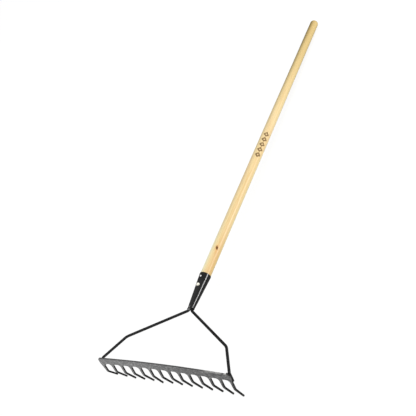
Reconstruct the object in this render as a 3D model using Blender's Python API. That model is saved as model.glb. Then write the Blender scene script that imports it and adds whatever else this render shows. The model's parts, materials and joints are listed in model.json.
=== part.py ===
"""Bow rake: hardwood pole, tapered steel socket, two bow rods welded to the ends of a 14-tine head.

Row frame: +X along the bar, +Y from the head to the free end of the pole, +Z up. The rake lies as
it does on the ground, on its tine tips and the end of its pole, at z = 0, and the origin is the
centre of its footprint.

Two inner frames carry the pieces:
  rake_frame    the head's own frame: the bar's top edge is z = 0, its front face is y = 0 at the
                middle, and front is -Y, away from the pole
  socket_frame  the pole's axis is +Z, the head's +X is +X, and the side that faces up is -Y
"""

import math

import bmesh
import bpy
from mathutils import Matrix, Vector

# Sizes are in millimetres and angles in degrees. Tables keyed -1 and 1 hold the -X and +X sides.
MM = 0.001
GAP = 0.3                # clearance between neighbouring pieces

# Bar
HEAD_WIDTH = 400.8       # over the end tines
BAR_END = {-1: 206.4, 1: 202.6}  # reach of the bar, further than its end tines
HEAD_THICK = 4.5
BAR_HEIGHT = 18.0        # top edge to the top of the gaps
BAR_BOW = 4.4            # how far the bar's ends stand forward of its middle
BAR_CORNER_R = 5.0
GAP_ROOT_R = 8.0         # fillet in the top corners of each gap
TINE_ROOT = BAR_HEIGHT + GAP_ROOT_R  # top edge to where the tines begin

# Tines, counted from 0 at the -X end
TINE_COUNT = 14
TINE_SHIFT = -0.9        # the tines sit slightly to -X of the bar's middle
TINE_WIDTH = 6.6
TINE_PITCH = (HEAD_WIDTH - TINE_WIDTH) / (TINE_COUNT - 1)
TINE_TIP_WIDTH = 3.6
TINE_TIP_SET = 0.9       # the taper is cut more off the -X side, so the tip is off the tine's middle
TINE_TIP_THICK = 4.3
TINE_STRAIGHT = 46.3     # top edge to the tines' bend
TINE_HOOK = 42.0         # bend to the tip
END_TINE_HOOK = {0: 38.3, TINE_COUNT - 1: 39.8}  # the two end tines are shorter
TINE_ANGLE = 24.9        # turn of the hook towards the pole, in the middle of the head
TINE_FAN = -0.35         # change of that turn from one tine to the next, towards +X
TINE_SET = {0: 5.0, 1: 2.5, 5: -3.5, 11: 0.6, 12: -0.3, 13: -1.2}  # extra turn of single tines
TINE_BEND_R = 14.0
TINE_BEND_STEPS = 4
TINE_LEAN = 1.2          # the inner root corner of the first tine is set this far towards -X

# (distance from the middle, drop below the top edge) from the bar's end to its end tine's root
BAR_SHOULDER = {
    -1: [(BAR_END[-1], BAR_HEIGHT), (BAR_END[-1] - 2.8, TINE_ROOT)],
    1: [
        (BAR_END[1], 14.0),
        (BAR_END[1] - 2.4, 20.0),
        (TINE_SHIFT + HEAD_WIDTH / 2 + 0.1, TINE_ROOT),
    ],
}

# Bow
ROD_D = 7.1
BOW_SHIFT = 0.4          # the bow sits slightly to +X of the socket
ROD_BEND = Vector((156.3, 71.5, 8.5))
ROD_END_X = {-1: 199.4, 1: 195.3}  # the rods' corners at the bar
ROD_END_Z = {-1: -5.9, 1: -3.1}
ROD_BAR_PLAY = 0.1       # added to GAP between the leg and the bar
ROD_LEG_Z = -26.5        # lower end of the leg behind the bar
ROD_LEG_LEAN = 0.3       # how far the leg runs inwards on its way down
ROD_PAIR_X = 3.72        # half the spacing of the two tangs in the socket
ROD_TANG = 36.0          # depth of the tangs, measured from the bow's centre
ROD_MOUTH_S = -2.0       # station where the rods turn out of the socket
ROD_MOUTH_R = 10.0
ROD_BEND_R = 26.0
ROD_CORNER_R = 5.0
ARC_STEP = 12.0          # largest turn of one piece of a rod's arcs

# Welds
ROD_WELD_PLAY = 0.05     # added to GAP between the rods and their beads
BAR_WELD_OFF = 0.6       # centre of the bar beads behind the bar's back face
BAR_WELD_FOLLOW = 0.7    # share of the rod corners' height difference the bar beads follow
BAR_WELDS = (            # place, offset outwards from the rod, half sizes, height of the centre
    ("outer", 4.5, (2.0, 2.4, 6.6), -11.5),
    ("inner", -4.1, (2.8, 2.8, 8.2), -8.5),
)
SOCKET_WELD_S = 2.2
SOCKET_WELD_X = 8.4
SOCKET_WELD_HALF = (2.4, 3.4, 3.6)

# Pole and socket; stations along the pole are measured from the bow's centre
AXIS_Y = 169.3
AXIS_Z = 23.4
AXIS_SLOPE = 15.0        # rise of the pole over the head's Y axis
SOCKET_MOUTH = 2.5
SOCKET_RIM = 107.0
SOCKET_MOUTH_D = 17.3
SOCKET_RIM_D = 31.6
SOCKET_WALL = 1.0
SOCKET_PLAY = 0.37       # between the socket's wall and the wood
TANG_END = 46.0          # station of the wood's lower end
TANG_CHAMFER = 1.5, 2.5  # across and along the axis
TANG_SHOULDER = SOCKET_RIM - 2.0
POLE_END = 1189.0
POLE_D = 29.0
POLE_D_END = 27.4
POLE_THIN = 620.0, 980.0  # the pole thins between these stations
POLE_STATIONS = (SOCKET_RIM + 1.0, 360, POLE_THIN[0], 700, 760, 820, 880, POLE_THIN[1], 1080)
DOME_LENGTH = 8.5
DOME_STEPS = 5
DOME_POWER = 0.7         # below 1 makes the dome fuller than an ellipse

# Fasteners
CAP_EDGE = 0.35          # height of the upright edge under a head's dome
RIVET_S = 69.0
RIVET_D = 5.0
RIVET_HEADS = (          # azimuth, diameter, height
    (0, 10.4, 2.6),
    (180, 9.8, 2.2),
)
RIVET_SINK = 1.4         # blank of the head below its seat, cut away to fit the socket
RIVET_SHANK_OUT = 0.9    # how far the shank runs into the heads
RIVET_BORE_OUT = 8
NAIL_S = 94.6
NAIL_AZIMUTH = -4.5      # from the top of the socket towards +X
NAIL_D = 1.9
NAIL_HEAD_D = 5.4
NAIL_HEAD_H = 1.2
NAIL_SINK = 0.8
NAIL_DEPTH = 17.0
NAIL_POINT = 2.5
NAIL_SHANK_OUT = 0.75
NAIL_BORE_END = 0.6      # how far the bore runs past the point
NAIL_BORE_OUT = 6.0

# Facets round the turned pieces
SIDES = 36               # pole and socket
SOCKET_ROOM_SIDES = 72
ROD_SIDES = 14
ROD_ROOM_SIDES = 28
RIVET_SIDES = 20
NAIL_SIDES = 16
BEAD_SIDES = 14
BEAD_RINGS = 8

WOOD = dict(color=(0.83, 0.64, 0.36), roughness=0.38, metallic=0.0, coat=0.3)
BLACK_GLOSS = dict(color=(0.012, 0.012, 0.013), roughness=0.22, metallic=0.0, coat=0.4)
BLACK_SATIN = dict(color=(0.035, 0.035, 0.037), roughness=0.42, metallic=0.0, coat=0.0)
GREY = dict(color=(0.20, 0.20, 0.20), roughness=0.48, metallic=0.3, coat=0.0)
WELD = dict(color=(0.05, 0.05, 0.052), roughness=0.55, metallic=0.2, coat=0.0)
RIVET = dict(color=(0.80, 0.74, 0.58), roughness=0.30, metallic=1.0, coat=0.0)
NAIL = dict(color=(0.70, 0.70, 0.70), roughness=0.33, metallic=1.0, coat=0.0)


# ---------------------------------------------------------------- objects

def new_material(name, color, roughness, metallic, coat):
    material = bpy.data.materials.new(name)
    material.use_nodes = True
    inputs = material.node_tree.nodes["Principled BSDF"].inputs
    inputs["Base Color"].default_value = (*color, 1.0)
    inputs["Roughness"].default_value = roughness
    inputs["Metallic"].default_value = metallic
    inputs["Coat Weight"].default_value = coat
    return material


def add_object(name, data, parent):
    obj = bpy.data.objects.new(name, data)
    bpy.context.scene.collection.objects.link(obj)
    obj.parent = parent
    return obj


def add_mesh(name, bm, parent):
    """An object from a bmesh in millimetres."""
    bmesh.ops.scale(bm, vec=(MM, MM, MM), verts=bm.verts)
    bmesh.ops.recalc_face_normals(bm, faces=bm.faces)
    mesh = bpy.data.meshes.new(name)
    bm.to_mesh(mesh)
    bm.free()
    mesh.shade_smooth()
    mesh.set_sharp_from_angle(angle=math.radians(35))
    return add_object(name, mesh, parent)


def add_piece(name, bm, parent, finish):
    obj = add_mesh(name, bm, parent)
    obj.data.materials.append(new_material(name, **finish))
    return obj


def add_guide(name, bm, parent):
    """A hidden body that other pieces are cut or joined with."""
    obj = add_mesh(name, bm, parent)
    obj.hide_render = True
    obj.display_type = "WIRE"
    return obj


def boolean(obj, operation, other):
    modifier = obj.modifiers.new(operation.lower(), "BOOLEAN")
    modifier.operation = operation
    modifier.solver = "EXACT"
    modifier.object = other


# ---------------------------------------------------------------- shapes

def circle(radius, sides):
    turns = [2 * math.pi * k / sides for k in range(sides)]
    return [(radius * math.cos(turn), radius * math.sin(turn)) for turn in turns]


def bridge(bm, low, high):
    """Quads between two closed rings of equal count."""
    for k in range(len(low)):
        j = (k + 1) % len(low)
        bm.faces.new((low[k], low[j], high[j], high[k]))


def lathe(profile, sides, frame=Matrix(), closed=False, bm=None):
    """Turns (radius, height) pairs about +Z. A radius of 0 is a point on the axis."""
    if bm is None:
        bm = bmesh.new()
    rings = []
    for radius, z in profile:
        outline = circle(radius, sides) if radius else [(0, 0)]
        rings.append([bm.verts.new(frame @ Vector((x, y, z))) for x, y in outline])
    pairs = list(zip(rings, rings[1:]))
    if closed:
        pairs.append((rings[-1], rings[0]))
    for low, high in pairs:
        if len(low) == len(high):
            bridge(bm, low, high)
            continue
        for k in range(sides):
            j = (k + 1) % sides
            if len(low) == 1:
                bm.faces.new((low[0], high[k], high[j]))
            else:
                bm.faces.new((low[k], high[0], low[j]))
    return bm


def cylinder(radius, low, high, sides, frame):
    return lathe([(0, low), (radius, low), (radius, high), (0, high)], sides, frame)


def ellipsoid(centre, half, turn=Matrix()):
    frame = Matrix.Translation(centre) @ turn.to_4x4() @ Matrix.Diagonal((*half, 1.0))
    turns = [math.pi * k / BEAD_RINGS for k in range(1, BEAD_RINGS)]
    rings = [(math.sin(turn), -math.cos(turn)) for turn in turns]
    return lathe([(0, -1.0)] + rings + [(0, 1.0)], BEAD_SIDES, frame)


def rounded(points, radii):
    """A polyline whose inner corners are arcs."""
    path = [points[0]]
    for before, corner, after, radius in zip(points, points[1:], points[2:], radii):
        inward = (before - corner).normalized()
        onward = (after - corner).normalized()
        turn = math.pi - inward.angle(onward)
        reach = radius * math.tan(turn / 2)
        centre = corner + (inward + onward).normalized() * (radius / math.cos(turn / 2))
        start = corner + inward * reach - centre
        axis = inward.cross(onward).normalized()
        pieces = max(2, math.ceil(math.degrees(turn) / ARC_STEP))
        for k in range(pieces + 1):
            path.append(centre + Matrix.Rotation(-turn * k / pieces, 3, axis) @ start)
    path.append(points[-1])
    return path


def sweep(path, radius, sides):
    """A round bar along a path, its frame carried along without twist."""
    bm = bmesh.new()
    last = len(path) - 1
    tangents = [
        (path[min(k + 1, last)] - path[max(k - 1, 0)]).normalized() for k in range(len(path))
    ]
    normal = tangents[0].orthogonal().normalized()
    rings = []
    for k, (point, tangent) in enumerate(zip(path, tangents)):
        if k:
            carry = tangents[k - 1].rotation_difference(tangent).to_matrix()
            normal = (carry @ normal).normalized()
        side = tangent.cross(normal)
        outline = circle(radius, sides)
        rings.append([bm.verts.new(point + x * normal + y * side) for x, y in outline])
    for low, high in zip(rings, rings[1:]):
        bridge(bm, low, high)
    bm.faces.new(list(reversed(rings[0])))
    bm.faces.new(rings[-1])
    return bm


# ---------------------------------------------------------------- head

def bar_point(x, off):
    """Point at x along the bowed bar and off behind its front face, with the bar's normal there."""
    half = HEAD_WIDTH / 2
    slope = -2 * BAR_BOW * x / half ** 2
    normal = Vector((-slope, 1.0)).normalized()
    return Vector((x, -BAR_BOW * (x / half) ** 2)) + off * normal, normal


def tine_centre(i):
    return TINE_SHIFT - HEAD_WIDTH / 2 + TINE_WIDTH / 2 + i * TINE_PITCH


def bar_columns():
    """(x, drop of the lower edge, tine or None in a gap) along the bar between its end pieces."""
    half_gap = (TINE_PITCH - TINE_WIDTH) / 2
    flat = half_gap - GAP_ROOT_R
    fillet = []
    for turn in map(math.radians, (22.5, 45, 67.5, 90)):
        out = flat + GAP_ROOT_R * math.cos(turn)
        fillet.append((out, TINE_ROOT - GAP_ROOT_R * math.sin(turn)))
    columns = []
    for i in range(TINE_COUNT):
        centre = tine_centre(i)
        if i > 0:
            columns.append((centre - TINE_WIDTH / 2, TINE_ROOT, i))
        if i < TINE_COUNT - 1:
            edge = centre + TINE_WIDTH / 2
            columns.append((edge - (TINE_LEAN if i == 0 else 0.0), TINE_ROOT, i))
            gap = edge + half_gap
            columns += [(gap - out, drop, None) for out, drop in fillet]
            columns += [(gap + out, drop, None) for out, drop in reversed(fillet)]
    return columns


def end_outline(side):
    """(x, drop) down one end of the bar, from its top edge to the end tine's root."""
    corner = []
    for turn in map(math.radians, (90, 60, 30, 0)):
        x = BAR_END[side] - BAR_CORNER_R * (1 - math.cos(turn))
        corner.append((x, BAR_CORNER_R * (1 - math.sin(turn))))
    return [(side * x, drop) for x, drop in corner + BAR_SHOULDER[side]]


def tine_stations(i):
    """(drop, set-back, turn, shift, width, thickness) down a tine's middle line from its root."""
    angle = TINE_ANGLE + TINE_FAN * (i - (TINE_COUNT - 1) / 2) + TINE_SET.get(i, 0.0)
    angle = math.radians(angle)
    hook = END_TINE_HOOK.get(i, TINE_HOOK)
    reach = TINE_BEND_R * math.tan(angle / 2)
    line = []
    for k in range(TINE_BEND_STEPS + 1):
        turn = angle * k / TINE_BEND_STEPS
        drop = TINE_STRAIGHT - reach + TINE_BEND_R * math.sin(turn)
        line.append((drop, TINE_BEND_R * (1 - math.cos(turn)), turn))
    for part in (0.5, 1.0):
        run = reach + (hook - reach) * part
        line.append((TINE_STRAIGHT + run * math.cos(angle), run * math.sin(angle), angle))

    # The taper runs evenly with the length along the tine
    full = (TINE_STRAIGHT - reach - TINE_ROOT) + TINE_BEND_R * angle + hook - reach
    length = 0.0
    last_drop, last_back = TINE_ROOT, 0.0
    stations = []
    for drop, back, turn in line:
        length += math.hypot(drop - last_drop, back - last_back)
        last_drop, last_back = drop, back
        part = length / full
        width = TINE_WIDTH + (TINE_TIP_WIDTH - TINE_WIDTH) * part
        thick = HEAD_THICK + (TINE_TIP_THICK - HEAD_THICK) * part
        stations.append((drop, back, turn, TINE_TIP_SET * part, width, thick))
    return stations


def add_tine(bm, i, front, back):
    """Carries a tine down from its root corners, each pair ordered -X to +X."""
    middle, normal = bar_point(tine_centre(i), HEAD_THICK / 2)
    along = Vector((normal.y, -normal.x))
    for drop, set_back, turn, shift, width, thick in tine_stations(i):
        new_front, new_back = [], []
        for x_side in (-1, 1):
            for face, corners in ((-1, new_front), (1, new_back)):
                off = face * thick / 2
                depth = set_back + off * math.cos(turn)
                point = middle + depth * normal + (shift + x_side * width / 2) * along
                z = -(drop - off * math.sin(turn))
                corners.append(bm.verts.new((point.x, point.y, z)))
        bm.faces.new((front[0], new_front[0], new_front[1], front[1]))
        bm.faces.new((back[0], back[1], new_back[1], new_back[0]))
        bm.faces.new((front[0], back[0], new_back[0], new_front[0]))
        bm.faces.new((front[1], new_front[1], new_back[1], back[1]))
        front, back = new_front, new_back
    bm.faces.new((front[0], back[0], back[1], front[1]))


def head_mesh():
    bm = bmesh.new()

    def vert(x, drop, off):
        point, _ = bar_point(x, off)
        return bm.verts.new((point.x, point.y, -drop))

    columns = bar_columns()
    front, back = [
        [(vert(x, 0.0, off), vert(x, drop, off)) for x, drop, _ in columns]
        for off in (0.0, HEAD_THICK)
    ]
    roots = {}  # tine: its front and back root corners
    for k in range(len(columns) - 1):
        (top_f, low_f), (next_top_f, next_low_f) = front[k], front[k + 1]
        (top_b, low_b), (next_top_b, next_low_b) = back[k], back[k + 1]
        bm.faces.new((top_f, low_f, next_low_f, next_top_f))
        bm.faces.new((top_b, next_top_b, next_low_b, low_b))
        bm.faces.new((top_f, next_top_f, next_top_b, top_b))
        tine = columns[k][2]
        if tine is not None and tine == columns[k + 1][2]:
            roots[tine] = (low_f, next_low_f), (low_b, next_low_b)
        else:
            bm.faces.new((low_f, low_b, next_low_b, next_low_f))

    for side, k, tine in ((-1, 0, 0), (1, -1, TINE_COUNT - 1)):
        outline = end_outline(side)
        end_f = [vert(x, drop, 0.0) for x, drop in outline]
        end_b = [vert(x, drop, HEAD_THICK) for x, drop in outline]
        bm.faces.new([front[k][0]] + end_f + [front[k][1]])
        bm.faces.new([back[k][0]] + end_b + [back[k][1]])
        bm.faces.new((front[k][0], end_f[0], end_b[0], back[k][0]))
        for j in range(len(outline) - 1):
            bm.faces.new((end_f[j], end_f[j + 1], end_b[j + 1], end_b[j]))
        # Outer corner first at the -X end, last at the +X end
        roots[tine] = [
            (end[-1], edge[k][1])[::-side] for end, edge in ((end_f, front), (end_b, back))
        ]

    for i in range(TINE_COUNT):
        add_tine(bm, i, *roots[i])
    return bm


def bar_room_mesh():
    """The bar's back and top with clearance, for the beads that seat on it."""
    margin, pieces = 12, 40
    front_off, bottom = -9.0, -70.0
    bm = bmesh.new()
    rings = []
    for k in range(pieces + 1):
        x = -HEAD_WIDTH / 2 - margin + k * (HEAD_WIDTH + 2 * margin) / pieces
        front, _ = bar_point(x, front_off)
        back, _ = bar_point(x, HEAD_THICK + GAP)
        corners = ((front, GAP), (front, bottom), (back, bottom), (back, GAP))
        rings.append([bm.verts.new((point.x, point.y, z)) for point, z in corners])
    for low, high in zip(rings, rings[1:]):
        bridge(bm, low, high)
    bm.faces.new(rings[0])
    bm.faces.new(list(reversed(rings[-1])))
    return bm


# ---------------------------------------------------------------- pole and socket

def socket_r(station):
    part = (station - SOCKET_MOUTH) / (SOCKET_RIM - SOCKET_MOUTH)
    return (SOCKET_MOUTH_D + (SOCKET_RIM_D - SOCKET_MOUTH_D) * part) / 2


def pole_r(station):
    start, end = POLE_THIN
    part = min(max((station - start) / (end - start), 0.0), 1.0)
    return (POLE_D + (POLE_D_END - POLE_D) * part * part * (3 - 2 * part)) / 2


def pole_profile():
    fit = SOCKET_WALL + SOCKET_PLAY
    tang_r = socket_r(TANG_END) - fit
    across, along = TANG_CHAMFER
    points = [
        (0, TANG_END),
        (tang_r - across, TANG_END),
        (tang_r, TANG_END + along),
        (socket_r(TANG_SHOULDER) - fit, TANG_SHOULDER),
    ]
    points += [(pole_r(station), station) for station in POLE_STATIONS]
    for k in range(DOME_STEPS):
        turn = math.radians(90 * k / DOME_STEPS)
        radius = POLE_D_END / 2 * math.cos(turn) ** DOME_POWER
        points.append((radius, POLE_END - DOME_LENGTH + DOME_LENGTH * math.sin(turn)))
    points.append((0, POLE_END))
    return points


def socket_profile():
    """The socket's wall, outer side from the rim to the mouth, then inner side back."""
    rim_r = socket_r(SOCKET_RIM)
    mouth_r = socket_r(SOCKET_MOUTH)
    middle = (SOCKET_RIM + SOCKET_MOUTH) / 2
    return [
        (rim_r - 0.35, SOCKET_RIM),
        (rim_r, SOCKET_RIM - 0.4),
        (socket_r(middle), middle),
        (mouth_r, SOCKET_MOUTH + 0.3),
        (mouth_r - 0.3, SOCKET_MOUTH),
        (mouth_r - SOCKET_WALL, SOCKET_MOUTH),
        (rim_r - SOCKET_WALL, SOCKET_RIM),
    ]


def socket_room_profile():
    """The socket's outside with clearance, for the pieces that seat on it."""
    return [
        (0, SOCKET_MOUTH - GAP),
        (socket_r(SOCKET_MOUTH) + GAP, SOCKET_MOUTH - GAP),
        (socket_r(SOCKET_RIM) + GAP, SOCKET_RIM + GAP),
        (0, SOCKET_RIM + GAP),
    ]


# ---------------------------------------------------------------- fasteners

def cap_profile(diameter, height, sink):
    """A low domed head standing on its seat, its blank reaching sink below."""
    radius = diameter / 2
    points = [(0, -sink), (radius, -sink), (radius, CAP_EDGE)]
    for k in range(1, 4):
        turn = math.radians(90 * k / 4)
        points.append((radius * math.cos(turn), CAP_EDGE + (height - CAP_EDGE) * math.sin(turn)))
    points.append((0, height))
    return points


def outward(station, azimuth, radius):
    """Frame whose +Z points out of the socket: azimuth from the socket's top towards +X."""
    turn = math.radians(azimuth)
    z = Vector((math.sin(turn), -math.cos(turn), 0))
    y = Vector((0, 0, 1))
    x = y.cross(z)
    axes = Matrix((x, y, z)).transposed().to_4x4()
    return Matrix.Translation(Vector((0, 0, station)) + z * radius) @ axes


def add_fastener(word, caps, shank, bore, finish):
    """Heads fitted to the socket and joined by a shank. Returns the guide of the bore."""
    fastener = add_piece("socket_" + word, caps, socket_frame, finish)
    shank_guide = add_guide(word + "_shank", shank, socket_frame)
    boolean(fastener, "DIFFERENCE", socket_room)
    boolean(fastener, "UNION", shank_guide)
    return add_guide(word + "_bore", bore, socket_frame)


def add_rivet():
    """Through both walls and the pole, with a domed head on each side."""
    radius = socket_r(RIVET_S)
    caps = bmesh.new()
    for azimuth, diameter, height in RIVET_HEADS:
        profile = cap_profile(diameter, height, RIVET_SINK)
        lathe(profile, RIVET_SIDES, outward(RIVET_S, azimuth, radius + GAP), bm=caps)
    frame = outward(RIVET_S, 0, 0)
    half = radius + RIVET_SHANK_OUT
    shank = cylinder(RIVET_D / 2, -half, half, RIVET_SIDES, frame)
    half = radius + RIVET_BORE_OUT
    bore = cylinder(RIVET_D / 2 + GAP, -half, half, RIVET_SIDES, frame)
    return add_fastener("rivet", caps, shank, bore, RIVET)


def add_nail():
    """From the top side into the pole only."""
    radius = socket_r(NAIL_S)
    profile = cap_profile(NAIL_HEAD_D, NAIL_HEAD_H, NAIL_SINK)
    cap = lathe(profile, NAIL_SIDES, outward(NAIL_S, NAIL_AZIMUTH, radius + GAP))
    frame = outward(NAIL_S, NAIL_AZIMUTH, radius)
    shank_profile = [
        (0, -NAIL_DEPTH),
        (NAIL_D / 2, -NAIL_DEPTH + NAIL_POINT),
        (NAIL_D / 2, NAIL_SHANK_OUT),
        (0, NAIL_SHANK_OUT),
    ]
    shank = lathe(shank_profile, NAIL_SIDES, frame)
    low = -NAIL_DEPTH - NAIL_BORE_END
    bore = cylinder(NAIL_D / 2 + GAP, low, NAIL_BORE_OUT, NAIL_SIDES, frame)
    return add_fastener("nail", cap, shank, bore, NAIL)


# ---------------------------------------------------------------- bow

SLOPE = math.radians(AXIS_SLOPE)
ALONG_POLE = Vector((0, math.cos(SLOPE), math.sin(SLOPE)))
BOW_CENTRE = Vector((0, AXIS_Y, AXIS_Z))


def rod_path(side):
    """From the tang in the socket, out to the bar's end and down behind the bar."""
    tang = BOW_CENTRE + Vector((side * ROD_PAIR_X, 0, 0))
    end_x = BOW_SHIFT + side * ROD_END_X[side]
    back, _ = bar_point(end_x, HEAD_THICK)
    end_y = back.y + ROD_D / 2 + GAP + ROD_BAR_PLAY
    points = [
        tang + ALONG_POLE * ROD_TANG,
        tang + ALONG_POLE * ROD_MOUTH_S,
        Vector((BOW_SHIFT + side * ROD_BEND.x, ROD_BEND.y, ROD_BEND.z)),
        Vector((end_x, end_y, ROD_END_Z[side])),
        Vector((end_x - side * ROD_LEG_LEAN, end_y, ROD_LEG_Z)),
    ]
    return rounded(points, (ROD_MOUTH_R, ROD_BEND_R, ROD_CORNER_R))


def add_bead(name, bm, *rooms):
    bead = add_piece(name, bm, rake_frame, WELD)
    for room in rooms:
        boolean(bead, "DIFFERENCE", room)


def add_bow_side(side, word):
    """One rod, the beads on both sides of its leg, and the bead at the socket's mouth."""
    path = rod_path(side)
    add_piece("bow_rod_" + word, sweep(path, ROD_D / 2, ROD_SIDES), rake_frame, BLACK_SATIN)
    room = sweep(path, ROD_D / 2 + GAP + ROD_WELD_PLAY, ROD_ROOM_SIDES)
    rod_room = add_guide("rod_room_" + word, room, rake_frame)

    for place, out, half, mid_z in BAR_WELDS:
        x = BOW_SHIFT + side * (ROD_END_X[side] + out)
        point, _ = bar_point(x, HEAD_THICK + BAR_WELD_OFF)
        z = mid_z + (ROD_END_Z[side] - ROD_END_Z[1]) * BAR_WELD_FOLLOW
        bead = ellipsoid(Vector((x, point.y, z)), half)
        add_bead(f"bar_weld_{word}_{place}", bead, rod_room, head_room)

    centre = BOW_CENTRE + ALONG_POLE * SOCKET_WELD_S + Vector((side * SOCKET_WELD_X, 0, 0))
    bead = ellipsoid(centre, SOCKET_WELD_HALF, turn=Matrix.Rotation(SLOPE, 3, "X"))
    add_bead("socket_weld_" + word, bead, rod_room, socket_room)


# ---------------------------------------------------------------- lay the rake on the ground

def lowest(points, tilt):
    return min(p.y * math.sin(-tilt) + p.z * math.cos(tilt) for p in points)


def lay_on_ground():
    """Tilts the rake until its tines and the far end of its pole are level, then centres it."""
    head_points = [v.co.copy() for v in head.data.vertices]
    pole_points = [socket_frame.matrix_basis @ v.co for v in handle.data.vertices]
    far_points = [p for p in pole_points if p.y > 0.5]  # metres
    low_tilt, high_tilt = 0.0, math.radians(40)
    for _ in range(60):
        tilt = (low_tilt + high_tilt) / 2
        if lowest(far_points, tilt) > lowest(head_points, tilt):
            low_tilt = tilt
        else:
            high_tilt = tilt
    turn = Matrix.Rotation(-tilt, 4, "X")
    turned = [turn @ p for p in head_points + pole_points]
    xs = [p.x for p in turned]
    ys = [p.y for p in turned]
    x_mid = (min(xs) + max(xs)) / 2
    y_mid = (min(ys) + max(ys)) / 2
    rake_frame.rotation_euler = (-tilt, 0, 0)
    rake_frame.location = (-x_mid, -y_mid, -lowest(head_points, tilt))
    bpy.context.view_layer.update()


# ---------------------------------------------------------------- build

for old in list(bpy.data.objects):
    bpy.data.objects.remove(old, do_unlink=True)

rake_frame = add_object("rake_frame", None, None)
socket_frame = add_object("socket_frame", None, rake_frame)
socket_frame.location = (0, AXIS_Y * MM, AXIS_Z * MM)
socket_frame.rotation_euler = (math.radians(AXIS_SLOPE - 90), 0, 0)

head = add_piece("rake_head", head_mesh(), rake_frame, GREY)
handle = add_piece("handle", lathe(pole_profile(), SIDES), socket_frame, WOOD)
socket_mesh = lathe(socket_profile(), SIDES, closed=True)
socket = add_piece("socket", socket_mesh, socket_frame, BLACK_GLOSS)
socket_room_mesh = lathe(socket_room_profile(), SOCKET_ROOM_SIDES)
socket_room = add_guide("socket_room", socket_room_mesh, socket_frame)

bores = add_rivet(), add_nail()
for piece in (handle, socket):
    for bore in bores:
        boolean(piece, "DIFFERENCE", bore)

head_room = add_guide("head_room", bar_room_mesh(), rake_frame)
add_bow_side(-1, "left")
add_bow_side(1, "right")

lay_on_ground()
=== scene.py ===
# A 14-tine garden rake: a pressed steel head, two bow rods welded to it, a tapered socket and a
# wooden pole. In the head's frame X runs along the bar, Z is up from the bar's top edge and +Y is
# the back, towards the pole. The socket's frame has Z along the pole and -Y on its upper side.
# Left is -X, right is +X. Azimuths are 0 on the upper side and positive towards +X.
import json
import math

import bmesh
import bpy
from mathutils import Matrix, Vector, noise


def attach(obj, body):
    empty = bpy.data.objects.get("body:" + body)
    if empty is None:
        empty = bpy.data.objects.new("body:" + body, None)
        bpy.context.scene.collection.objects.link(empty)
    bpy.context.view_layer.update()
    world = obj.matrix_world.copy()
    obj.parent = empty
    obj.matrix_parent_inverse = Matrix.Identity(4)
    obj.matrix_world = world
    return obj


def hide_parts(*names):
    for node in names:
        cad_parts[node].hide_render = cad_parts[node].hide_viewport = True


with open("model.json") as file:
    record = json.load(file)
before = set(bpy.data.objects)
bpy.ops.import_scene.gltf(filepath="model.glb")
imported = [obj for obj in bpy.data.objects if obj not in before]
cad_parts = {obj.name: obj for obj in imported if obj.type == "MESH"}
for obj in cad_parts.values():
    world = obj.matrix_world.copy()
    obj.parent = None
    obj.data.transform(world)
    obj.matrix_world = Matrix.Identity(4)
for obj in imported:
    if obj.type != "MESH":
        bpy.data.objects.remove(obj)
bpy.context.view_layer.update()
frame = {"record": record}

MM = 0.001

# ------------------------------------------------------------------ sizes (mm and degrees)
# Bar
HEAD_WIDTH = 400.8
HEAD_THICK = 4.5
BAR_END_LEFT = 206.4
BAR_END_RIGHT = 202.6
BAR_HEIGHT = 18.0
BAR_BOW = 4.4
BAR_CORNER_R = 5.0
SHOULDER_IN_LEFT = 2.8  # from the left end in to the first tine's side
SHOULDER_OUT_RIGHT = 0.1  # extra width of the last tine at its root
GAP_ROOT_R = 8.0
ROOT = BAR_HEIGHT + GAP_ROOT_R
EDGE_R = 0.75

# Tines, numbered from 1 at the left
TINE_COUNT = 14
TINE_SHIFT = -0.9
TINE_WIDTH = 6.6
TINE_TIP_WIDTH = 3.6
TINE_TIP_SET = 0.9
TINE_TIP_THICK = 4.3
TIP_CORNER_R = 1.1
TINE_STRAIGHT = 46.3
TINE_HOOK = 42.0
END_TINE_HOOK = 38.3, 39.8
TINE_ANGLE = 24.9
TINE_FAN = -0.35
TINE_BEND_R = 14.0
TINE_LEAN = 1.2
TINE_SET = {1: 5.0, 2: 2.5, 6: -3.5, 12: 0.6, 13: -0.3, 14: -1.2}  # tine number: extra angle
PITCH = (HEAD_WIDTH - TINE_WIDTH) / (TINE_COUNT - 1)

# Bow rods, by side where the two differ
ROD_D = 7.1
BOW_SHIFT = 0.4
ROD_BEND = Vector((156.3, 71.5, 8.5))
ROD_END_X = {-1: 199.4, 1: 195.3}
ROD_END_Z = {-1: -5.9, 1: -3.1}
ROD_LEG_Z = -26.5
ROD_LEG_LEAN = 0.3
ROD_BAR_GAP = 0.4
ROD_PAIR_X = 3.72
ROD_TANG = 36.0
ROD_BEND_R = 26.0
ROD_CORNER_R = 5.0
ROD_MOUTH_R = 10.0
ROD_NOSE = 0.9

# Socket; places along it and the pole are measured from the bow's centre
AXIS_Y = 169.3
AXIS_Z = 23.4
AXIS_SLOPE = 15.0
SOCKET_MOUTH = 2.5
SOCKET_RIM = 107.0
SOCKET_MOUTH_D = 17.3
SOCKET_RIM_D = 31.6
SOCKET_WALL = 1.0
SOCKET_LIP = 0.7
RIVET_S = 69.0
RIVET_D = 5.0
RIVET_HEAD_D = 10.4
RIVET_HEAD_H = 2.6
NAIL_S = 94.6
NAIL_AZIMUTH = 4.5
NAIL_TILT = 3.0
NAIL_D = 1.9
NAIL_HEAD_D = 5.4
NAIL_DEPTH = 17.0

# Pole
TANG_END = 46.0
TANG_PLAY = 0.37
POLE_END = 1189.0
POLE_D = 29.0
POLE_D_END = 27.4
POLE_THIN = 620.0, 980.0
DOME_LENGTH = 8.5
END_FLAT = 0.16
KNOT_S = 189.0
KNOT_HALF_LENGTH = 5.0
KNOT_HALF_WIDTH = 2.7
KNOT_REACH = 13.0
KNOT_BUMP_AZIMUTH = 39.0

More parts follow.
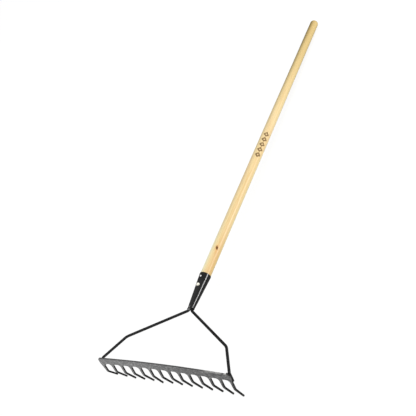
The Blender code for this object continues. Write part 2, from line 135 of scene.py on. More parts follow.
# ------------------------------------------------------------------ frames
mount = frame["record"]["mounts"][0]
up = Vector(mount["axis"])
tilt = math.atan2(up.y, up.z)
HEAD = (Matrix.Translation(Vector(mount["pos_m"])) @ Matrix.Rotation(-tilt, 4, "X")
        @ Matrix.Translation((0, -HEAD_THICK / 2 * MM, 0)))
SOCKET = (HEAD @ Matrix.Translation((0, AXIS_Y * MM, AXIS_Z * MM))
          @ Matrix.Rotation(math.radians(AXIS_SLOPE - 90), 4, "X"))


# ------------------------------------------------------------------ mesh tools
def smooth_step(part):
    return part * part * (3 - 2 * part)


def wrap(angle):
    """The angle brought into -pi to pi."""
    return (angle + math.pi) % (2 * math.pi) - math.pi


def axes(x, y, z):
    """The rotation that carries the world's axes to these three."""
    return Matrix((x, y, z)).transposed().to_4x4()


def join_rings(bm, low, high):
    for k in range(len(low)):
        j = (k + 1) % len(low)
        bm.faces.new((low[k], low[j], high[j], high[k]))


def lathe(bm, profile, sides, at=Matrix(), warp=None):
    """Turns (radius, z) pairs about Z; radius 0 is a point on the axis.
    warp(radius, angle, z) may change the radius."""
    rings = []
    for radius, z in profile:
        if radius == 0:
            rings.append([bm.verts.new(at @ Vector((0, 0, z)))])
            continue
        ring = []
        for k in range(sides):
            angle = 2 * math.pi * k / sides
            warped = warp(radius, angle, z) if warp else radius
            place = Vector((warped * math.cos(angle), warped * math.sin(angle), z))
            ring.append(bm.verts.new(at @ place))
        rings.append(ring)
    for low, high in zip(rings, rings[1:]):
        if len(low) > 1 and len(high) > 1:
            join_rings(bm, low, high)
            continue
        for k in range(sides):
            j = (k + 1) % sides
            if len(low) == 1:
                bm.faces.new((low[0], high[k], high[j]))
            else:
                bm.faces.new((low[k], high[0], low[j]))
    return rings


def rounded(points, radii, arc_step=4.0, straight_step=7.0):
    """A polyline whose inner corners are arcs. The steps, in degrees and mm, are about how far
    apart its points are."""
    path = [points[0]]

    def run(end):
        start = path[-1]
        count = max(1, round((end - start).length / straight_step))
        path.extend(start.lerp(end, k / count) for k in range(1, count + 1))

    for before, corner, after, radius in zip(points, points[1:], points[2:], radii):
        back = (before - corner).normalized()
        ahead = (after - corner).normalized()
        turn = math.pi - back.angle(ahead)
        reach = radius * math.tan(turn / 2)
        centre = corner + (back + ahead).normalized() * (radius / math.cos(turn / 2))
        start = corner + back * reach
        run(start)
        axis = (back * reach).cross(ahead * reach).normalized()
        count = max(2, math.ceil(math.degrees(turn) / arc_step))
        for k in range(1, count + 1):
            path.append(centre + Matrix.Rotation(-turn * k / count, 3, axis) @ (start - centre))
    run(points[-1])
    return path


def tangents_of(path):
    last = len(path) - 1
    return [(path[min(k + 1, last)] - path[max(k - 1, 0)]).normalized() for k in range(last + 1)]


def tube(bm, stations, sides, skin):
    """Joined rings round (point, tangent, radius) stations.
    skin(point, direction, radius, angle, length) gives each vertex's distance from the middle."""
    last_point, last_tangent, _ = stations[0]
    normal = last_tangent.orthogonal().normalized()
    length = 0.0
    rings = []
    for point, tangent, radius in stations:
        length += (point - last_point).length
        normal = (last_tangent.rotation_difference(tangent).to_matrix() @ normal).normalized()
        last_point, last_tangent = point, tangent
        across = tangent.cross(normal)
        ring = []
        for j in range(sides):
            angle = 2 * math.pi * j / sides
            direction = math.cos(angle) * normal + math.sin(angle) * across
            distance = skin(point, direction, radius, angle, length)
            ring.append(bm.verts.new(point + distance * direction))
        rings.append(ring)
    for low, high in zip(rings, rings[1:]):
        join_rings(bm, low, high)
    return rings


def piece(name, bm, at, look, nodes, smooth=40.0):
    """A finished piece from a bmesh in mm in the frame at.
    Its spot attribute keeps the place in that frame for the looks."""
    spot = bm.verts.layers.float_vector.new("spot")
    for v in bm.verts:
        v[spot] = v.co
    bmesh.ops.transform(bm, matrix=at @ Matrix.Scale(MM, 4), verts=bm.verts)
    bmesh.ops.recalc_face_normals(bm, faces=bm.faces)
    mesh = bpy.data.meshes.new(name)
    bm.to_mesh(mesh)
    bm.free()
    mesh.shade_smooth()
    mesh.set_sharp_from_angle(angle=math.radians(smooth))
    mesh.materials.append(look)
    ob = bpy.data.objects.new(name, mesh)
    bpy.context.scene.collection.objects.link(ob)
    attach(ob, "root")
    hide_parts(*nodes)
    return ob


# ------------------------------------------------------------------ material tools
class Value:
    """A number in a node tree. Arithmetic on it adds math nodes."""

    def __init__(self, nodes, socket):
        self.nodes = nodes
        self.socket = socket

    def __add__(self, other):
        return self.nodes.math("ADD", self, other)

    def __sub__(self, other):
        return self.nodes.math("SUBTRACT", self, other)

    def __rsub__(self, other):
        return self.nodes.math("SUBTRACT", other, self)

    def __mul__(self, other):
        return self.nodes.math("MULTIPLY", self, other)

    def __truediv__(self, other):
        return self.nodes.math("DIVIDE", self, other)

    def __abs__(self):
        return self.nodes.math("ABSOLUTE", self)

    def scaled(self, by, plus):
        """self * by + plus, in one node."""
        return self.nodes.math("MULTIPLY_ADD", self, by, plus)

    def at_least(self, other):
        return self.nodes.math("MAXIMUM", self, other)

    def fade(self, start, end, low=0.0, high=1.0):
        """Smooth step: low where this is start, high where it is end."""
        limits = {"From Min": start, "From Max": end, "To Min": low, "To Max": high}
        return self.nodes.value("ShaderNodeMapRange", "Result", {**limits, "Value": self},
                                interpolation_type="SMOOTHSTEP")


class Nodes:
    """A node tree, built up by calls that return its values and sockets."""

    def __init__(self, tree):
        self.tree = tree

    def put(self, socket, value):
        if isinstance(value, Value):
            value = value.socket
        if isinstance(value, bpy.types.NodeSocket):
            self.tree.links.new(value, socket)
        elif socket.type == "RGBA" and len(value) == 3:
            socket.default_value = (*value, 1.0)
        else:
            socket.default_value = value

    def node(self, kind, inputs=(), **props):
        node = self.tree.nodes.new(kind)
        for key, value in props.items():
            setattr(node, key, value)
        for key, value in dict(inputs).items():
            self.put(node.inputs[key], value)
        return node

    def value(self, kind, output, inputs=(), **props):
        return Value(self, self.node(kind, inputs, **props).outputs[output])

    def math(self, operation, first, second=0.0, third=0.0, clamp=False):
        return self.value("ShaderNodeMath", 0, enumerate((first, second, third)),
                          operation=operation, use_clamp=clamp)


class Look(Nodes):
    """A material. Its colour is laid down in layers, first to last."""

    SOCKETS = {
        "rough": "Roughness", "metal": "Metallic", "normal": "Normal",
        "coat": "Coat Weight", "coat_rough": "Coat Roughness", "coat_normal": "Coat Normal",
        "specular": "Specular IOR Level",
        "glow_colour": "Emission Color", "glow": "Emission Strength",
    }

    def __init__(self, name, colour=None):
        self.mat = bpy.data.materials.new(name)
        self.mat.use_nodes = True
        super().__init__(self.mat.node_tree)
        self.colour = colour

    def spot(self):
        """Position in the piece's own frame, in mm."""
        return self.node("ShaderNodeAttribute", attribute_name="spot").outputs["Vector"]

    def geometry(self, output):
        return self.node("ShaderNodeNewGeometry").outputs[output]

    def split(self, vector):
        node = self.node("ShaderNodeSeparateXYZ", {0: vector})
        return [Value(self, output) for output in node.outputs]

    def azimuth(self, x, y):
        """Angle round the socket's axis, 0 on the upper side, positive towards +X."""
        return self.math("ARCTAN2", x, y * -1.0)

    def hypot(self, x, y):
        return self.math("SQRT", x * x + y * y)

    def bell(self, x, y):
        """1 at the origin, dying away as exp(-(x2 + y2))."""
        return self.math("EXPONENT", (x * x + y * y) * -1.0)

    def noise(self, vector, scale, detail=2.0, rough=0.5):
        inputs = {"Vector": vector, "Scale": scale, "Detail": detail, "Roughness": rough}
        return self.value("ShaderNodeTexNoise", "Fac", inputs)

    def streaks(self, vector, scale, shift=(0, 0, 0), detail=2.0, rough=0.5):
        """Noise with its own scale along each axis."""
        inputs = {"Vector": vector, "Scale": scale, "Location": shift}
        mapped = self.node("ShaderNodeMapping", inputs).outputs[0]
        return self.noise(mapped, scale=1.0, detail=detail, rough=rough)

    def ramp(self, factor, stops):
        """Eased colour ramp through (position, colour) stops."""
        node = self.node("ShaderNodeValToRGB", {0: factor})
        node.color_ramp.interpolation = "EASE"
        elements = node.color_ramp.elements
        while len(elements) < len(stops):
            elements.new(0.5)
        for element, (position, colour) in zip(elements, stops):
            element.position = position
            element.color = (*colour, 1.0)
        return node.outputs[0]

    def lay(self, colour, amount, blend="MIX"):
        """Covers the colour so far with this one."""
        inputs = {"Factor": amount, "A": self.colour, "B": colour}
        node = self.node("ShaderNodeMix", inputs, data_type="RGBA", blend_type=blend)
        self.colour = node.outputs["Result"]

    def tint(self, factors, amount):
        """Multiplies the colour so far by these red, green and blue factors."""
        self.lay(factors, amount, blend="MULTIPLY")

    def bump(self, height, depth, strength=1.0, under=None):
        """Bump whose height of 1 stands depth mm proud."""
        inputs = {"Strength": strength, "Distance": depth * MM, "Height": height}
        if under is not None:
            inputs["Normal"] = under
        return self.node("ShaderNodeBump", inputs).outputs[0]

    def finish(self, **inputs):
        bsdf = self.tree.nodes["Principled BSDF"]
        self.put(bsdf.inputs["Base Color"], self.colour)
        for key, value in inputs.items():
            self.put(bsdf.inputs[self.SOCKETS[key]], value)
        return self.mat


def times(colour, factor):
    return tuple(factor * c for c in colour)


# ------------------------------------------------------------------ looks
HEART_X, HEART_Y = -17.0, 24.0  # offset of a place on the pole from the growth rings' heart
RING_WIDTH = 3.1
KNOT_AZIMUTH = 0.68  # radians, as are all azimuths in the looks
DIAMONDS, DIAMOND_PITCH, DIAMOND_START = 5, 21.2, 525.0
DIAMOND_AZIMUTH = 0.74
DIAMOND_HALF_LENGTH, DIAMOND_HALF_WIDTH = 9.4, 9.0


def wood():
    look = Look("lacquered_wood", colour=(0.925, 0.735, 0.430))
    spot = look.spot()
    x, y, z = look.split(spot)
    azimuth = look.azimuth(x, y)
    # these two let what is on one flank die out before the underside
    left = azimuth.fade(start=-3.0, end=-1.7)
    right = azimuth.fade(start=3.05, end=2.35)

    def on_left(start, end):
        return left * azimuth.fade(start=start, end=end)

    def across(centre):
        """mm round the pole from an azimuth."""
        return (azimuth - centre) * (POLE_D / 2)

    # the knot: a small slanting oval with a wobbly outline
    knot_along = (z - KNOT_S) / KNOT_HALF_LENGTH
    knot_across = across(KNOT_AZIMUTH) / KNOT_HALF_WIDTH
    knot_across = knot_along.scaled(by=0.42, plus=knot_across)
    wobble = (look.noise(spot, scale=0.35) - 0.5) * 0.9
    knot = look.hypot(knot_along, knot_across) + wobble
    # the area in which the grain flows round it, 13.0 mm long and 5.6 mm wide
    around = look.bell((z - KNOT_S) * 1.0 / KNOT_REACH, across(KNOT_AZIMUTH) / 5.6)

    # growth rings about a heart outside the pole, drifting by up to half of 26.0 and 5.0 mm
    drift_x = look.streaks(spot, scale=(0.012, 0.012, 0.0035))
    drift_y = look.streaks(spot, scale=(0.05, 0.05, 0.009), shift=(7, 3, 1))
    heart_x = x + ((drift_x - 0.5) * 26.0 + HEART_X)
    heart_y = y + ((drift_y - 0.5) * 5.0 + HEART_Y)
    radius = look.hypot(heart_x, heart_y) + around * 3.2
    rings = look.math("SINE", radius * (2 * math.pi / RING_WIDTH)).scaled(by=0.5, plus=0.5)
    late = look.math("POWER", rings, 2.4)  # the narrow dark part of each ring

    fibre = look.streaks(spot, scale=(1.5, 1.5, 0.022), detail=5.0, rough=0.65)
    fine = look.streaks(spot, scale=(5.5, 5.5, 0.09), detail=4.0, rough=0.6)
    pores = look.streaks(spot, scale=(7.0, 7.0, 0.16), shift=(3, 9, 2)).fade(start=0.64, end=0.74)
    broad = look.streaks(spot, scale=(0.085, 0.085, 0.0042), shift=(11, 5, 8))

    # tan late wood, pink bands, brown fibres and dark pores over the pale ground
    look.lay((0.800, 0.560, 0.265), late * 0.50)
    look.lay((0.900, 0.630, 0.385), broad.fade(start=0.50, end=0.70, high=0.60))
    look.lay((0.76, 0.52, 0.235), fibre.fade(start=0.38, end=0.72, high=0.42))
    look.lay((0.55, 0.36, 0.16), look.math("MULTIPLY", fine - 0.5, 0.45, clamp=True))
    look.lay((0.36, 0.21, 0.09), pores * late.scaled(by=0.35, plus=0.12))
    # next to the socket: painted light on the left flank, paler there; redder, darker wood on the
    # right, partly its own tone and partly painted shade
    look.lay((0.955, 0.780, 0.520),
             z.fade(start=300.0, end=130.0, high=0.75) * on_left(start=0.35, end=-0.5))
    look.lay((0.800, 0.545, 0.245), z.fade(start=280.0, end=140.0, high=0.85)
             * (right * azimuth.fade(start=0.35, end=1.15)))
    # painted shade down the middle of the upper side, weaker along part of the pole; painted light
    # on the flanks
    middle_shade = azimuth - 1.0
    middle_shade = look.math("EXPONENT", middle_shade * middle_shade * -1.7)
    less = z.fade(start=560.0, end=700.0, high=0.5) * z.fade(start=1030.0, end=930.0)
    look.tint((0.845, 0.765, 0.685), middle_shade * (1.0 - less))
    # painted light: paler left flank next to the socket, paler right flank all along
    look.tint((1.13, 1.28, 1.42), z.fade(start=430.0, end=150.0) * on_left(start=0.45, end=-0.55))
    look.tint((1.11, 1.20, 1.26), right * azimuth.fade(start=1.40, end=2.05))
    # darker, greener heart wood towards the free end, with painted shade along its left side there
    look.lay((0.735, 0.535, 0.225), z.fade(start=640.0, end=1080.0, high=0.80))
    far_left_shade = z.fade(start=640.0, end=1180.0) * on_left(start=0.55, end=-0.62)
    look.lay((0.36, 0.270, 0.085), far_left_shade * 0.92)
    # more painted shade on the left near the free end
    look.tint((0.86, 0.82, 0.74),
              z.fade(start=1000.0, end=1160.0) * on_left(start=1.05, end=0.10))
    look.tint((0.95, 0.945, 0.965), z.fade(start=540.0, end=700.0))
    look.tint((0.93, 0.92, 0.90), z.fade(start=700.0, end=1060.0))
    look.tint((0.980, 1.02, 0.975), 1.0)

    # a row of burnt diamond outlines in a paler scorch
    cell = look.math("FRACT", (z - DIAMOND_START) / DIAMOND_PITCH)
    lozenge = (abs((cell - 0.5) * DIAMOND_PITCH) / DIAMOND_HALF_LENGTH
               + abs(across(DIAMOND_AZIMUTH)) / DIAMOND_HALF_WIDTH)
    ragged = (look.noise(spot, scale=0.55, detail=3.0, rough=0.6) - 0.5) * 0.5
    lozenge = lozenge + ragged

    def in_row(outside, inside):
        """1 along the row, fading over these lengths outside and inside its two ends."""
        end = DIAMOND_START + DIAMONDS * DIAMOND_PITCH
        return (z.fade(start=DIAMOND_START - outside, end=DIAMOND_START + inside)
                * z.fade(start=end + outside, end=end - inside))

    burnt = lozenge.fade(start=1.08, end=0.96) * lozenge.fade(start=0.30, end=0.52)
    burnt = burnt * in_row(outside=0.5, inside=0.5)
    scorch = lozenge.fade(start=1.45, end=0.90) * in_row(outside=5.0, inside=1.0)
    look.lay((0.42, 0.25, 0.10), scorch * 0.26)
    look.lay((0.105, 0.052, 0.017), burnt * fibre.scaled(by=0.45, plus=0.60))

    # the knot: a reddish tail on the socket's side, a brown surround, a dark rim and core
    tail = look.bell((z - 179.0) / 13.0, across(0.80) / 2.6)
    look.lay((0.70, 0.36, 0.12), tail * 0.45)
    look.lay((0.74, 0.42, 0.15), around.fade(start=0.05, end=0.95, high=0.55))
    look.lay((0.38, 0.17, 0.055), knot.fade(start=1.80, end=0.95, high=0.85))
    look.lay((0.085, 0.032, 0.010), knot.fade(start=1.15, end=0.55, high=0.95))
    # bare end grain on the rounded end
    end = z.fade(start=POLE_END - 9.0, end=POLE_END - 3.0)
    look.lay((0.60, 0.41, 0.19), end * 0.35)
    # grime rubbed in just above the socket
    smudge = look.noise(spot, scale=0.22, detail=3.0, rough=0.6)
    look.lay((0.30, 0.22, 0.13), z.fade(start=128.0, end=106.0) * smudge * 0.10)

    relief = fine * 0.5 + (late * 0.25 + burnt.scaled(by=-2.0, plus=pores * -0.7))
    matt = burnt.at_least(knot.fade(start=1.5, end=0.8))
    return look.finish(
        rough=fibre.scaled(by=0.16, plus=0.34) + end * 0.18,
        normal=look.bump(relief, depth=0.05),
        coat=matt.scaled(by=-0.20, plus=0.25),
        coat_rough=0.30,
        coat_normal=look.bump(look.noise(spot, scale=0.55), depth=0.05, strength=0.6),
        specular=matt.scaled(by=-0.2, plus=0.3))


def enamel(name, base, rough, coat_rough, peel, chips, shine, tooth, extra=None):
    """Black enamel on steel: unevenness, dust and rubbed spots. peel is the scale of the skin's
    unevenness, tooth its strength, chips how worn it is. extra(look, spot, roughness) may lay
    more colour and returns the roughness."""
    look = Look(name, colour=base)
    spot = look.spot()
    haze = look.noise(spot, scale=0.045, detail=3.0, rough=0.6)
    dust = look.noise(spot, scale=1.1, detail=4.0, rough=0.65)
    speck = look.noise(spot, scale=2.6).fade(start=0.66, end=0.76)
    look.lay(times(base, 1.9), haze.fade(start=0.35, end=0.75, high=0.55))
    look.lay((0.12, 0.115, 0.108), dust.fade(start=0.5, end=0.8) * chips)
    look.lay((0.20, 0.19, 0.175), speck * chips)
    dusty = dust.scaled(by=0.9 * chips, plus=rough - 0.45 * chips)
    roughness = look.math("ADD", dusty, speck * (0.8 * chips), clamp=True)
    if extra:
        roughness = extra(look, spot, roughness)
    skin = look.bump(look.noise(spot, scale=peel), depth=0.035, strength=tooth)
    grit = look.bump(look.noise(spot, scale=3.2), depth=0.012, strength=0.8 * tooth, under=skin)
    return look.finish(rough=roughness, normal=grit, coat=0.0, coat_rough=coat_rough,
                       coat_normal=skin, specular=shine)


def socket_sheen_and_burn(look, spot, roughness):
    """Paler on the left, a painted soft reflection, and burnt thin there by the weld at the mouth.
    """
    x, y, z = look.split(spot)
    azimuth = look.azimuth(x, y)
    sheen = azimuth.fade(start=0.85, end=0.10) * azimuth.fade(start=-3.0, end=-1.8)
    sheen = sheen * z.fade(start=96.0, end=72.0)
    # painted reflection: a soft paler grey over the left of the socket
    look.lay((0.0245, 0.0245, 0.0250), sheen * 0.85)
    flank = azimuth.fade(start=0.35, end=-0.25) * azimuth.fade(start=-2.6, end=-2.0)
    thin = z.fade(start=9.0, end=6.0) * flank
    patchy = look.noise(spot, scale=0.42, detail=3.0, rough=0.6).fade(start=0.40, end=0.56)
    look.lay((0.31, 0.31, 0.305), thin * patchy.scaled(by=0.70, plus=0.22))
    return roughness.at_least(thin * 0.55)


def bared_rod(look, spot, roughness):
    """Bare and scaly where the left rod is welded into the mouth."""
    weld_place = (-3.7, 171.5, 27.0)
    away = look.value("ShaderNodeVectorMath", "Value", {0: spot, 1: weld_place},
                      operation="DISTANCE")
    scale = look.noise(spot, scale=0.5, detail=3.0, rough=0.6)
    scale = scale.fade(start=0.36, end=0.55, low=0.45, high=1.0)
    look.lay((0.26, 0.26, 0.255), away.fade(start=7.0, end=4.5) * scale)
    return roughness


def coated_grey():
    look = Look("head_grey")
    spot = look.spot()
    x, y, z = look.split(spot)
    # mottled grey with grain, pale spots and broad darker drifts
    mottle = look.noise(spot, scale=0.24, detail=4.0, rough=0.62)
    grain = look.noise(spot, scale=1.5, detail=4.0, rough=0.7)
    spots = look.value("ShaderNodeTexVoronoi", "Distance", {"Vector": spot, "Scale": 0.62})
    drift = look.noise(spot, scale=0.020)
    look.colour = look.ramp(mottle, [
        (0.32, (0.125, 0.126, 0.128)),
        (0.50, (0.215, 0.216, 0.218)),
        (0.68, (0.330, 0.330, 0.327)),
    ])
    look.lay((0.125, 0.125, 0.127), grain.fade(start=0.40, end=0.80, high=0.55))
    look.lay((0.32, 0.32, 0.31), spots.fade(start=0.55, end=0.15, high=0.20))
    look.lay((0.14, 0.14, 0.142), drift.fade(start=0.35, end=0.70, high=0.25))
    # dark and pale blots
    blot = look.streaks(spot, scale=(0.15, 0.15, 0.21), shift=(4, 2, 7), detail=3.0, rough=0.55)
    look.tint((0.66, 0.66, 0.665), blot.fade(start=0.53, end=0.40, high=0.75))
    look.tint((1.42, 1.42, 1.41), blot.fade(start=0.52, end=0.66, high=0.80))
    # painted light: paler towards the left, the end the light falls on most
    look.tint((1.36, 1.36, 1.36), x.fade(start=205.0, end=20.0))
    look.tint((1.28, 1.28, 1.28), x.fade(start=70.0, end=-80.0))
    look.lay((0.38, 0.38, 0.377), x.fade(start=20.0, end=-170.0, high=0.30))
    # a little paler near the right end and on the bar
    look.tint((1.10, 1.10, 1.10), x.fade(start=100.0, end=125.0) * x.fade(start=198.0, end=186.0))
    look.tint((1.08, 1.08, 1.08), z.fade(start=-30.0, end=-20.0))
    # handling has dulled the tines
    look.tint((0.72, 0.72, 0.72),
              z.fade(start=-25.0, end=-36.0) * x.fade(start=-40.0, end=120.0, low=0.3))

    # black sheared faces: the ends and the sides of the tines
    normal_x, normal_y, normal_z = look.split(look.geometry("True Normal"))
    sheared = abs(normal_x).fade(start=0.45, end=0.85)
    sheared = sheared.at_least(x.fade(start=195.5, end=198.5)
                               * normal_y.fade(start=-0.85, end=-0.55))
    # of the bar's right end only the back half is black
    bar_end = x.fade(start=199.5, end=201.5) * z.fade(start=-25.0, end=-21.0)
    kept = y.fade(start=-4.4, end=-2.9).at_least(1.0 - bar_end)
    look.lay((0.0075, 0.0075, 0.0080), sheared * kept * 0.97)

    # the top edge laid dark, a painted shade; paler in streaks near its right end but for a short
    # break at x 181
    top = normal_z.fade(start=0.70, end=0.93) * z.fade(start=-1.6, end=-0.5)
    pale_streaks = x.fade(start=120.0, end=138.0) * x.fade(start=192.0, end=188.0)
    streaky = look.streaks(spot, scale=(0.07, 0.3, 0.3), shift=(3.1, 0, 0), detail=4.0, rough=0.7)
    pale_streaks = pale_streaks * streaky.fade(start=0.40, end=0.60, low=0.25, high=0.85)
    pale_streaks = pale_streaks.at_least(abs(x - 165.0).fade(start=6.0, end=2.5))
    pale_streaks = pale_streaks.at_least(abs(x - 188.5).fade(start=4.5, end=2.0))
    pale_streaks = pale_streaks * abs(x - 181.0).fade(start=1.5, end=4.5)
    look.lay((0.070, 0.070, 0.072), top * pale_streaks.scaled(by=-0.85, plus=0.92))
    look.lay((0.50, 0.495, 0.48), top * pale_streaks * 0.85)
    # scorched black round the right weld
    scorched = x.fade(start=193.0, end=195.5) * normal_z.fade(start=0.25, end=0.60)
    look.lay((0.012, 0.012, 0.012), scorched * (z.fade(start=-7.0, end=-4.0) * 0.92))

    # bright worn edges
    edge = look.value("ShaderNodeAttribute", "Fac", attribute_name="edge")
    wear = look.noise(spot, scale=0.16, detail=4.0, rough=0.7).fade(start=0.50, end=0.68)
    worn = edge * wear * sheared.scaled(by=-0.85, plus=1.0)
    look.lay((0.47, 0.465, 0.45), worn * 0.55)
    # painted shade: the hooks darken towards their tips, less at the left end
    tip = z.fade(start=-50.0, end=-66.0) * x.fade(start=-178.0, end=-150.0, low=0.35)
    shade_patches = look.streaks(spot, scale=(0.4, 0.4, 0.09), detail=4.0, rough=0.6)
    look.lay((0.022, 0.0215, 0.021), tip * shade_patches.scaled(by=0.5, plus=0.55))

    skin = look.bump(mottle, depth=0.10, strength=0.8)
    return look.finish(
        rough=grain.scaled(by=0.22, plus=0.38) + worn * -0.14,
        metal=worn.scaled(by=0.55, plus=0.20) * (1.0 - sheared),
        normal=look.bump(grain, depth=0.035, strength=0.9, under=skin),
        specular=sheared.scaled(by=-0.3, plus=0.45))


def plated(name, base, tarnish, rough, shaded, spread):
    """Bright metal. spread is how far it has tarnished, shaded how strong the dark round the rivet
    head is: painted shade on one side, part paint and part painted shade on its rim.
    """
    look = Look(name, colour=base)
    spot = look.spot()
    x, _, z = look.split(spot)
    brushed = look.streaks(spot, scale=(2.6, 2.6, 0.5), detail=4.0, rough=0.65)
    blot = look.noise(spot, scale=0.55, detail=4.0, rough=0.6)
    look.lay(tarnish, blot.fade(start=0.46, end=0.70, high=spread))
    look.lay(times(base, 0.55), brushed * 0.05)
    # painted shade on one side of the head, and a dark rim round it, partly paint left there and
    # partly painted shade
    along = z - (RIVET_S - 0.2)
    across = x - 1.25
    shade_side = across * 0.85 + along * -0.52
    look.lay((0.22, 0.18, 0.11), shade_side.fade(start=2.6, end=4.6) * shaded)
    rim = look.hypot(across, along).fade(start=2.9, end=4.6)
    look.lay((0.28, 0.275, 0.245), rim * (0.85 * shaded))
    dent = look.bump(look.noise(spot, scale=0.75), depth=0.10, strength=0.8)
    return look.finish(
        rough=(brushed.scaled(by=0.22, plus=rough - 0.08)
               + blot.fade(start=0.5, end=0.75) * 0.14),
        metal=0.0,
        normal=look.bump(brushed, depth=0.02, strength=0.8, under=dent))


def weld(name, lift):
    """Lumpy weld metal; lift brightens its dark greys."""
    look = Look(name)
    spot = look.spot()
    lump = look.noise(spot, scale=0.55, detail=4.0, rough=0.65)
    grit = look.noise(spot, scale=2.4, detail=4.0, rough=0.7)
    look.colour = look.ramp(lump, [
        (0.25, times((0.010, 0.010, 0.0105), lift)),
        (0.60, times((0.030, 0.030, 0.031), lift)),
        (0.85, times((0.072, 0.071, 0.068), lift)),
    ])
    look.lay(times((0.095, 0.092, 0.088), lift), grit.fade(start=0.58, end=0.80, high=0.5))
    skin = look.bump(lump, depth=0.25, strength=0.9)
    return look.finish(rough=grit.scaled(by=0.3, plus=0.34), metal=0.1, specular=0.22,
                       normal=look.bump(grit, depth=0.06, strength=0.9, under=skin))


WOOD = wood()
GLOSS = enamel("socket_enamel", base=(0.0085, 0.0085, 0.0090), rough=0.155, coat_rough=0.10,
               peel=0.10, chips=0.05, shine=0.66, tooth=0.05, extra=socket_sheen_and_burn)
SATIN = enamel("rod_enamel", base=(0.0090, 0.0090, 0.0095), rough=0.40, coat_rough=0.25,
               peel=0.35, chips=0.20, shine=0.36, tooth=0.8)
# the left rod's enamel: a paler base and more shine than the right's, painted light, with the bare
# patch at its mouth weld
SATIN_LEFT_LIT = enamel("rod_enamel_left_lit", base=(0.0145, 0.0145, 0.0153), rough=0.40,
                    coat_rough=0.25, peel=0.35, chips=0.22, shine=0.46, tooth=0.8,
                    extra=bared_rod)
GREY = coated_grey()
RIVET = plated("rivet_plate", base=(1.0, 0.98, 0.86), tarnish=(0.93, 0.82, 0.60),
               rough=0.26, shaded=0.9, spread=0.2)
NAIL = plated("nail_steel", base=(0.82, 0.82, 0.81), tarnish=(0.52, 0.52, 0.505),
              rough=0.34, shaded=0.0, spread=0.55)
WELD = weld("weld_black", lift=0.32)
WELD_BARE = weld("weld_bare", lift=5.5)


# ------------------------------------------------------------------ rake head
# The head is laid out as a flat blank: x along the bar, s down from its top edge.
ROWS = 12  # down the bar
ACROSS = 4  # over a tine's width
DOWN = 30  # down a tine, to where its tip's corners begin
TIP_ROWS = 0.75, 0.42, 0.18, 0.04, 0.0  # last rows, by their distance from the tip
EDGE_ARC = 22.5, 45, 67.5, 90  # degrees round half of an edge

# Below its rounded corner each end of the bar runs down to the outer tine's side:
# (distance in from the end, s)
SHOULDERS = {
    -1: [(0, 9.5), (0, 14.0), (0.15, 17.0), (0.9, 20.0), (1.85, 23.0), (SHOULDER_IN_LEFT, ROOT)],
    1: [(0, 9.0), (0.1, 12.6), (0.75, 15.8), (1.65, 18.2), (2.35, 20.6),
        (BAR_END_RIGHT - (TINE_SHIFT + HEAD_WIDTH / 2 + SHOULDER_OUT_RIGHT), ROOT)],
}


def bar_normal(x):
    slope = -2 * BAR_BOW * x / (HEAD_WIDTH / 2) ** 2
    return Vector((-slope, 1.0)).normalized()


def bar_point(x, depth):
    """Plan (x, y) of the bowed bar, depth behind its front face."""
    return Vector((x, -BAR_BOW * (x / (HEAD_WIDTH / 2)) ** 2)) + depth * bar_normal(x)


